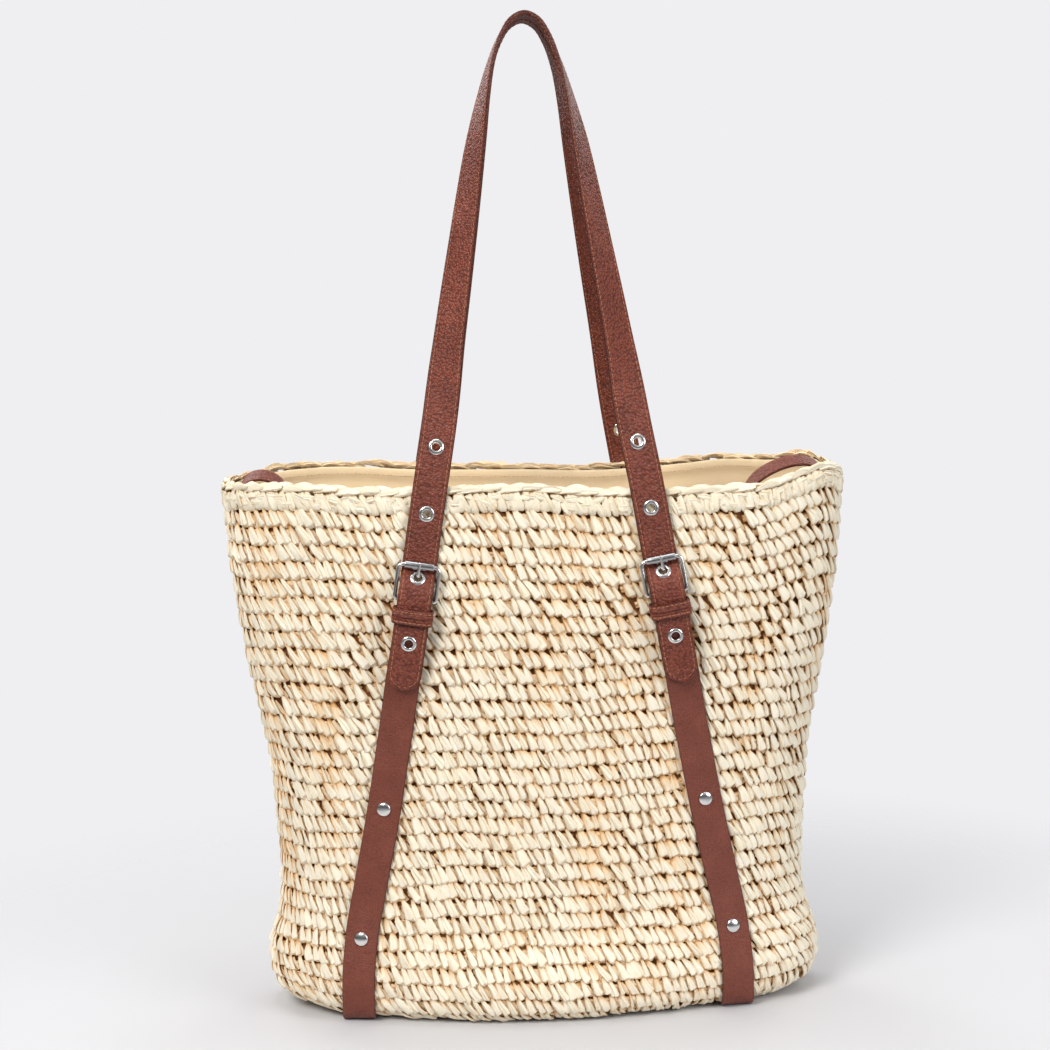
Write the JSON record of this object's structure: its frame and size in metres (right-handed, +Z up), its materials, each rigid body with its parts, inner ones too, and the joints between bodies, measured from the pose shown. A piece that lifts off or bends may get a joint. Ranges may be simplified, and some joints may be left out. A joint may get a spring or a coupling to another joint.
{
  "type": "beach bag",
  "caption": "Crocheted straw beach bag with a cloth lining, long brown leather handles on roller buckles, and riveted leather straps under its oval base.",
  "frame": {"origin": "on the floor under the middle of the bag, at the bottom centre of its box", "axes": "+Z up, the front face of the bag looks along -Y, +X to the right as the front is seen"},
  "size_m": [0.447, 0.1698, 0.711],
  "materials": {
    "straw": "matte crocheted paper straw, crinkled",
    "leather": "pebbled brown leather with matching edge stitching",
    "lining_cloth": "plain woven cotton",
    "hardware": "polished nickel plate"
  },
  "bodies": {
    "root": {"crochet_sides": "straw", "crochet_base": "straw", "rim_band": "straw", "rim_edging": "straw", "lining": "lining_cloth", "right_base_strap": "leather", "left_base_strap": "leather", "handle_end_eyelets": "hardware", "strap_rivets": "hardware", "rivet_burrs": "hardware", "right_closure_tab": "leather", "left_closure_tab": "leather", "front_right_handle_end": "leather", "front_right_buckle_frame": "hardware", "front_right_keeper": "leather", "front_left_handle_end": "leather", "front_left_buckle_frame": "hardware", "front_left_keeper": "leather", "back_right_handle_end": "leather", "back_right_buckle_frame": "hardware", "back_right_keeper": "leather", "back_left_handle_end": "leather", "back_left_buckle_frame": "hardware", "back_left_keeper": "leather"},
    "front_handle_body": {"front_handle": "leather", "front_handle_eyelets": "hardware"},
    "back_handle_body": {"back_handle": "leather", "back_handle_eyelets": "hardware"},
    "right_closure_body": {"right_closure_strap": "leather", "snap_socket": "hardware"},
    "left_closure_body": {"left_closure_strap": "leather", "snap_stud": "hardware"},
    "front_right_roller_body": {"front_right_buckle_roller": "hardware"},
    "front_right_prong_body": {"front_right_buckle_prong": "hardware"},
    "front_left_roller_body": {"front_left_buckle_roller": "hardware"},
    "front_left_prong_body": {"front_left_buckle_prong": "hardware"},
    "back_right_roller_body": {"back_right_buckle_roller": "hardware"},
    "back_right_prong_body": {"back_right_buckle_prong": "hardware"},
    "back_left_roller_body": {"back_left_buckle_roller": "hardware"},
    "back_left_prong_body": {"back_left_buckle_prong": "hardware"}
  },
  "joints": [
    {"name": "front_handle_swing", "type": "hinge", "parent": "root", "child": "front_handle_body", "pos_m": [0, -0.076, 0.3305], "axis": [1, 0, 0], "range_deg": [0, 150]},
    {"name": "back_handle_swing", "type": "hinge", "parent": "root", "child": "back_handle_body", "pos_m": [0, 0.076, 0.3305], "axis": [-1, 0, 0], "range_deg": [0, 150]},
    {"name": "right_closure_swing", "type": "hinge", "parent": "root", "child": "right_closure_body", "pos_m": [0.157, 0, 0.3699], "axis": [0, 1, 0], "range_deg": [-12, 75]},
    {"name": "left_closure_swing", "type": "hinge", "parent": "root", "child": "left_closure_body", "pos_m": [-0.1775, 0, 0.3699], "axis": [0, -1, 0], "range_deg": [-12, 75]},
    {"name": "front_right_roller_spin", "type": "hinge", "parent": "root", "child": "front_right_roller_body", "pos_m": [0.0835, -0.076, 0.3305], "axis": [0.9863, 0, 0.165], "continuous": true},
    {"name": "front_right_prong_lift", "type": "hinge", "parent": "root", "child": "front_right_prong_body", "pos_m": [0.08746, -0.076, 0.30683], "axis": [0.9863, 0, 0.165], "range_deg": [0, 5]},
    {"name": "front_left_roller_spin", "type": "hinge", "parent": "root", "child": "front_left_roller_body", "pos_m": [-0.0835, -0.076, 0.3305], "axis": [0.9863, 0, -0.165], "continuous": true},
    {"name": "front_left_prong_lift", "type": "hinge", "parent": "root", "child": "front_left_prong_body", "pos_m": [-0.08746, -0.076, 0.30683], "axis": [0.9863, 0, -0.165], "range_deg": [0, 5]},
    {"name": "back_right_roller_spin", "type": "hinge", "parent": "root", "child": "back_right_roller_body", "pos_m": [0.0835, 0.076, 0.3305], "axis": [0.9863, 0, 0.165], "continuous": true},
    {"name": "back_right_prong_lift", "type": "hinge", "parent": "root", "child": "back_right_prong_body", "pos_m": [0.08746, 0.076, 0.30683], "axis": [-0.9863, 0, -0.165], "range_deg": [0, 5]},
    {"name": "back_left_roller_spin", "type": "hinge", "parent": "root", "child": "back_left_roller_body", "pos_m": [-0.0835, 0.076, 0.3305], "axis": [0.9863, 0, -0.165], "continuous": true},
    {"name": "back_left_prong_lift", "type": "hinge", "parent": "root", "child": "back_left_prong_body", "pos_m": [-0.08746, 0.076, 0.30683], "axis": [-0.9863, 0, 0.165], "range_deg": [0, 5]}
  ]
}
